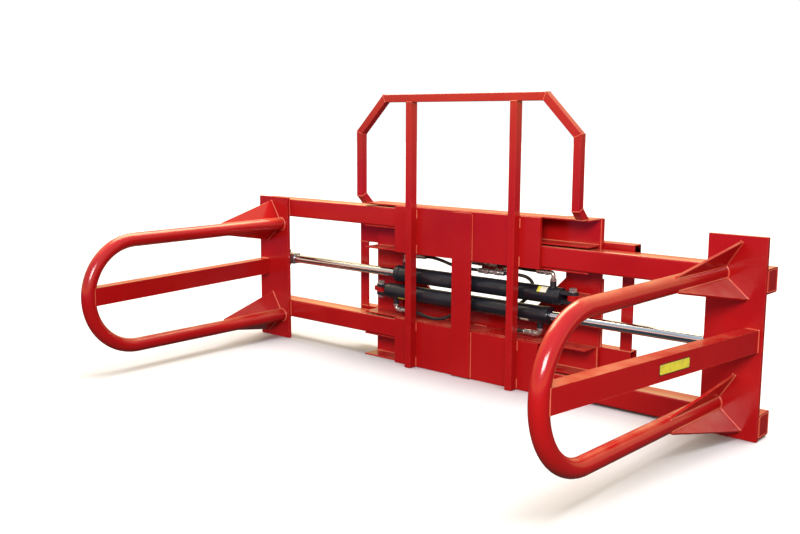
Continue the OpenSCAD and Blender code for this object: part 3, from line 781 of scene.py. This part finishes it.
class Arm:
    """One arm's places: its plate, and the leaning frames of its hoop and of its middle bar."""

    def __init__(self, name, sign):
        self.name, self.sign = name, sign
        self.body = name + "_arm"
        self.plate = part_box(name + "_plate")
        self.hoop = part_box(name + "_hoop")
        self.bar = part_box(name + "_bar")
        self.inner = self.plate[0].x if sign > 0 else -self.plate[1].x
        self.outer = self.plate[1].x if sign > 0 else -self.plate[0].x
        self.plate_middle = (self.plate[0].z + self.plate[1].z) / 2
        self.hoop_middle = (self.hoop[0].z + self.hoop[1].z) / 2
        self.limb = (self.hoop[1].z - self.hoop[0].z) / 2 - HOOP_TUBE
        lean = HOOP_LENGTH * math.sin(math.radians(HOOP_TOE))
        across = self.outer - self.inner - BAR_INSET - HOOP_INSET + lean
        self.reach = HOOP_LENGTH * math.cos(math.radians(HOOP_TOE))
        self.bar_turn = math.degrees(math.atan2(across, self.reach))
        self.bar_length = math.hypot(across, self.reach)

    def leaning(self, x, z, degrees):
        """The frame whose origin is on the plate's face and whose -Y runs out along the arm."""
        mirror = Matrix.Diagonal((self.sign, 1, 1, 1))
        place = Matrix.Translation((x, self.plate[0].y, z))
        return mirror @ place @ Matrix.Rotation(math.radians(-degrees), 4, "Z")

    def hoop_frame(self):
        return self.leaning(self.inner + HOOP_INSET, self.hoop_middle, HOOP_TOE)

    def bar_frame(self):
        return self.leaning(self.outer - BAR_INSET, self.plate_middle, self.bar_turn)


def fin_welds(arm):
    """Each fin along its tube and along the plate, on both of its sides."""
    parts = []
    frame_of = arm.hoop_frame()
    for limb in (-arm.limb, arm.limb):
        for slope in (-FIN_RISE, FIN_FALL):
            tilt = Matrix.Translation((0, 0, limb)) @ Matrix.Rotation(math.radians(slope), 4, "Y")
            for side in (-1, 1):
                t = side * FIN_THICK / 2
                seat = math.sqrt(HOOP_TUBE ** 2 - t ** 2)
                along = [(seat, -0.004, t), (seat, -FIN_LENGTH, t)]
                root = [(seat, -0.0005, t), (HOOP_TUBE + FIN_WIDTH, -0.0005, t)]
                parts.append(bead([frame_of @ tilt @ Vector(p) for p in along], 3))
                parts.append(bead([frame_of @ tilt @ Vector(p) for p in root], 3.2))
    return parts


def bar_welds(arm):
    """The middle bar on the plate and on the hoop's nose."""
    parts = []
    frame_of = arm.bar_frame()
    half_w, half_h = 0.025, 0.035
    root = [(-half_w, 0, -half_h), (half_w, 0, -half_h), (half_w, 0, half_h), (-half_w, 0, half_h)]
    parts.append(bead([frame_of @ Vector(p) for p in root], 3.2, True))
    corner = HOOP_TUBE * 0.55
    near = arm.bar_length - HOOP_TUBE
    nose = []
    steps = 6
    for edge, (z0, z1) in ((-half_w, (-half_h, half_h)), (half_w, (half_h, -half_h))):
        for k in range(steps + 1):
            z = z0 + (z1 - z0) * k / steps
            nose.append((edge, z))
        for k in range(1, steps):
            x = edge - 2 * edge * k / steps
            nose.append((x, z1))
    ring = []
    for x, z in nose:
        back = HOOP_TUBE - math.sqrt(max(HOOP_TUBE ** 2 - x ** 2, 0))
        ring.append(frame_of @ Vector((x, -near - min(back, corner), z)))
    parts.append(bead(ring, 2.6, True))
    return parts


def arm_welds(arm):
    parts = fin_welds(arm) + bar_welds(arm)
    frame_of = arm.hoop_frame()
    back = arm.plate[1].y
    for limb in (-arm.limb, arm.limb):
        ring = circle((0, -0.0005, limb), (0, 1, 0), HOOP_TUBE + 0.0005)
        parts.append(bead([frame_of @ p for p in ring], 3.5, True))
    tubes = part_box(arm.name + "_slide_tubes")
    for low in (tubes[0].z, tubes[1].z - SLIDE_TUBE):
        for z in (low + 0.0015, low + SLIDE_TUBE - 0.0015):
            parts.append(bead([(arm.sign * arm.inner, back, z), (arm.sign * arm.outer, back, z)], 2))
        for x in (arm.sign * arm.inner, arm.sign * arm.outer):
            y, start, end = back - 0.001, low + 0.008, low + SLIDE_TUBE - 0.008
            parts.append(bead([(x, y, start), (x, y, end)], 3))
        end, half = arm.sign * arm.outer, 0.034
        y, z = (tubes[0].y + tubes[1].y) / 2, low + SLIDE_TUBE / 2
        ring = [(end, y - half, z - half), (end, y + half, z - half),
                (end, y + half, z + half), (end, y - half, z + half)]
        parts.append(bead(ring, 1.4, True))
    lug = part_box(arm.name + "_rod_lug")
    for z in (lug[0].z, lug[1].z):
        far = lug[1].x if arm.sign > 0 else lug[0].x
        parts.append(bead([(arm.sign * (arm.inner + 0.003), back, z), (far, back, z)], 2.5))
    return parts


def make_welds(arms):
    seams = front_welds() + guard_welds() + beam_welds() + rear_welds()
    piece("frame_welds", seams, weld_paint_with_painted_highlight, FRAME_BODY, 80)
    piece("cylinder_welds", cylinder_welds(), black, FRAME_BODY, 80)
    for arm in arms:
        piece(arm.name + "_arm_welds", arm_welds(arm), weld_paint_with_painted_highlight, arm.body, 80)


# ---------- rod wipers, labels ----------


def make_wipers():
    """The rubber lip round each rod where it enters its gland."""
    parts = []
    lip = [(-2, 15.2), (-2, 19.5), (1.5, 19), (3.2, 16.2), (3.2, 15.2), (-2, 15.2)]
    for node, out in (("upper_gland", -1), ("lower_gland", 1)):
        low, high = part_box(node)
        face = Vector((low.x if out < 0 else high.x, CYLINDER_Y, UPPER_Z if out < 0 else LOWER_Z))
        parts.append(lathe(face, (out, 0, 0), lip, 48))
    piece("rod_wipers", parts, FINISHES["hose_rubber"], FRAME_BODY, 30)


def wrapped(centre_z, x_low, x_high, from_degrees, to_degrees, lift):
    """A thin film that follows a barrel's wall; degrees are measured up from level, on the front side."""
    steps = 8
    points = []
    for r in (BARREL_R + lift, BARREL_R + lift + 0.0003):
        for k in range(steps + 1):
            angle = math.radians(from_degrees + (to_degrees - from_degrees) * k / steps)
            y, z = CYLINDER_Y - r * math.cos(angle), centre_z + r * math.sin(angle)
            points += [(x_low, y, z), (x_high, y, z)]
    layer = 2 * (steps + 1)
    faces = []
    for k in range(steps):
        a = 2 * k
        faces.append((a, a + 1, a + 3, a + 2))
        faces.append((layer + a, layer + a + 2, layer + a + 3, layer + a + 1))
        faces.append((a, a + 2, layer + a + 2, layer + a))
        faces.append((a + 1, layer + a + 1, layer + a + 3, a + 3))
    faces.append((0, layer, layer + 1, 1))
    faces.append((2 * steps, 2 * steps + 1, layer + 2 * steps + 1, layer + 2 * steps))
    return points, faces


def rounded_panel(frame_of, x, y_low, y_high, half_height, corner, thick):
    """A film with round corners on the outer face of a bar."""
    outline = []
    for cy, cz, start in (
        (y_high - corner, half_height - corner, 0), (y_low + corner, half_height - corner, 90),
        (y_low + corner, corner - half_height, 180), (y_high - corner, corner - half_height, 270),
    ):
        for k in range(7):
            angle = math.radians(start + 15 * k)
            outline.append((cy + corner * math.cos(angle), cz + corner * math.sin(angle)))
    count = len(outline)
    points = [frame_of @ Vector((x + depth, y, z)) for depth in (0, thick) for y, z in outline]
    faces = [tuple(range(count)), tuple(reversed(range(count, 2 * count)))]
    faces += [(k, (k + 1) % count, count + (k + 1) % count, count + k) for k in range(count)]
    return points, faces


def make_labels(right):
    cream = printed("label_cream", (0.75, 0.74, 0.60), (0.45, 0.42, 0.35))
    yellow = printed("label_yellow", (0.72, 0.68, 0.05), (0.40, 0.36, 0.08))
    dark = printed("label_dark", (0.02, 0.02, 0.02), (0.08, 0.08, 0.07))
    film, over_film = 0.0002, 0.0006
    base_x, gland_x, port_x = upper_barrel[1].x, lower_barrel[1].x, lower_barrel[0].x
    for name, film_of, material in (
        ("barrel_label", (UPPER_Z, base_x - 0.066, base_x - 0.026, 22, 68, film), cream),
        ("barrel_label_band", (UPPER_Z, base_x - 0.066, base_x - 0.054, 22, 68, over_film), yellow),
        ("lower_barrel_label", (LOWER_Z, gland_x - 0.096, gland_x - 0.060, -58, -36, film), cream),
        ("port_tag", (LOWER_Z, port_x + 0.045, port_x + 0.078, -48, -38, film), yellow),
    ):
        piece(name, [wrapped(*film_of)], material, FRAME_BODY)
    bar = right.bar_frame()
    near, far, outer, rim, thick = -0.384, -0.534, 0.0252, 0.0025, 0.0004
    edge = rounded_panel(bar, outer, far, near, 0.0165, 0.007, thick)
    panel = rounded_panel(bar, outer + thick, far + rim, near - rim, 0.014, 0.005, 0.0003)
    piece("bar_label_edge", [edge], dark, right.body)
    piece("bar_label", [panel], yellow, right.body)


# ---------- stage, lights and world ----------


def make_floor():
    shape = bmesh.new()
    bmesh.ops.create_circle(shape, cap_ends=True, segments=96, radius=40.0)
    mesh = bpy.data.meshes.new("floor")
    shape.to_mesh(mesh)
    shape.free()
    finish = Finish("studio_floor")
    finish.colour(finish.mix(finish.noise(0.6, 4.0), (0.88, 0.88, 0.88), (0.90, 0.90, 0.90)))
    finish.roughness(finish.spread(finish.noise(3.0, 3.0), 0.3, 0.7, 0.75, 0.9))
    finish.set(Specular_IOR_Level=0.1)
    mesh.materials.append(finish.material)
    floor = bpy.data.objects.new("floor", mesh)
    floor.visible_glossy = False
    floor.visible_diffuse = False
    scene.collection.objects.link(floor)
    return floor


def area_light(name, place, aim, size, power, colour):
    data = bpy.data.lights.new(name, "AREA")
    data.shape = "RECTANGLE"
    data.size, data.size_y = size
    data.energy = power
    data.color = colour
    light = bpy.data.objects.new(name, data)
    light.location = place
    light.rotation_euler = (Vector(aim) - Vector(place)).to_track_quat("-Z", "Y").to_euler()
    scene.collection.objects.link(light)
    return light


def make_lights(floor):
    """A warm softbox overhead and a fill in front for the object, and a wide light for the floor only."""
    key = area_light("key", (-1.6, 0.6, 3.4), (0, -0.3, 0.4), (3.2, 2.4), 230, (1.0, 0.80, 0.52))
    fill = area_light("fill", (3.0, -4.6, 3.0), (0.1, -0.2, 0.4), (2.6, 1.6), 330, (1.0, 0.95, 0.92))
    others = bpy.data.collections.new("all_but_floor")
    others.objects.link(floor)
    others.collection_objects[0].light_linking.link_state = "EXCLUDE"
    for light in (key, fill):
        light.light_linking.receiver_collection = others
    data = bpy.data.lights.new("floor_wash", "SUN")
    data.energy = 2.3
    data.angle = math.radians(38)
    wash = bpy.data.objects.new("floor_wash", data)
    wash.rotation_euler = (math.radians(-6), math.radians(8), 0)
    scene.collection.objects.link(wash)
    only_floor = bpy.data.collections.new("only_floor")
    only_floor.objects.link(floor)
    wash.light_linking.receiver_collection = only_floor


STUDIO_STRENGTH = 0.85
BACKDROP_STRENGTH = 1.05
# The studio round the object: (height of the direction, colour) from straight down to straight up.
NEAR_SIDE = [
    (-1.0, (0.07, 0.10, 0.09)), (-0.16, (0.06, 0.07, 0.09)), (-0.10, (0.20, 0.08, 0.36)),
    (-0.03, (0.34, 0.12, 0.60)), (0.01, (3.2, 1.4, 0.60)), (0.10, (2.2, 1.3, 0.70)),
    (0.22, (0.62, 0.68, 0.78)), (1.0, (0.90, 0.95, 1.05)),
]
FAR_SIDE = [
    (-1.0, (0.07, 0.10, 0.09)), (-0.05, (0.10, 0.08, 0.08)), (0.02, (0.9, 0.66, 0.32)),
    (0.35, (1.3, 1.0, 0.52)), (0.7, (2.2, 1.7, 1.0)), (1.0, (1.0, 0.98, 0.95)),
]


def make_world():
    """White where the camera looks past the object, and a soft studio for what the object reflects."""
    world = bpy.data.worlds.new("studio")
    scene.world = world
    world.use_nodes = True
    nodes, links = world.node_tree.nodes, world.node_tree.links
    nodes.clear()
    place = nodes.new("ShaderNodeTexCoord").outputs["Generated"]
    split = nodes.new("ShaderNodeSeparateXYZ")
    links.new(place, split.inputs[0])

    def spread(value, low, high):
        node = nodes.new("ShaderNodeMapRange")
        node.inputs["From Min"].default_value = low
        node.inputs["From Max"].default_value = high
        links.new(value, node.inputs["Value"])
        return node.outputs["Result"]

    def ramp(stops):
        node = nodes.new("ShaderNodeValToRGB")
        elements = node.color_ramp.elements
        while len(elements) < len(stops):
            elements.new(0.5)
        for element, (height, colour) in zip(elements, stops):
            element.position = (height + 1) / 2
            element.color = (*colour, 1.0)
        links.new(spread(split.outputs["Z"], -1.0, 1.0), node.inputs["Fac"])
        return node.outputs["Color"]

    yaw = math.radians(CAMERA_YAW)
    ahead = nodes.new("ShaderNodeVectorMath")
    ahead.operation = "DOT_PRODUCT"
    ahead.inputs[1].default_value = (-math.sin(yaw), math.cos(yaw), 0.0)
    links.new(place, ahead.inputs[0])
    sides = nodes.new("ShaderNodeMix")
    sides.data_type = "RGBA"
    links.new(spread(ahead.outputs["Value"], -0.1, 0.4), sides.inputs["Factor"])
    links.new(ramp(NEAR_SIDE), sides.inputs[6])
    links.new(ramp(FAR_SIDE), sides.inputs[7])
    studio = nodes.new("ShaderNodeBackground")
    links.new(sides.outputs[2], studio.inputs["Color"])
    studio.inputs["Strength"].default_value = STUDIO_STRENGTH
    white = nodes.new("ShaderNodeBackground")
    white.inputs["Color"].default_value = (1, 1, 1, 1)
    white.inputs["Strength"].default_value = BACKDROP_STRENGTH
    choose = nodes.new("ShaderNodeMixShader")
    links.new(nodes.new("ShaderNodeLightPath").outputs["Is Camera Ray"], choose.inputs[0])
    links.new(studio.outputs[0], choose.inputs[1])
    links.new(white.outputs[0], choose.inputs[2])
    links.new(choose.outputs[0], nodes.new("ShaderNodeOutputWorld").inputs["Surface"])


# ---------- the scene ----------

make_camera()
for hose_name in ROUTES:
    make_hose(hose_name, FINISHES["hose_rubber"])
finish_nodes()
make_fittings()
both_arms = [Arm("left", -1), Arm("right", 1)]
make_welds(both_arms)
make_wipers()
make_labels(both_arms[1])
make_lights(make_floor())
make_world()
scene.view_settings.view_transform = "Standard"
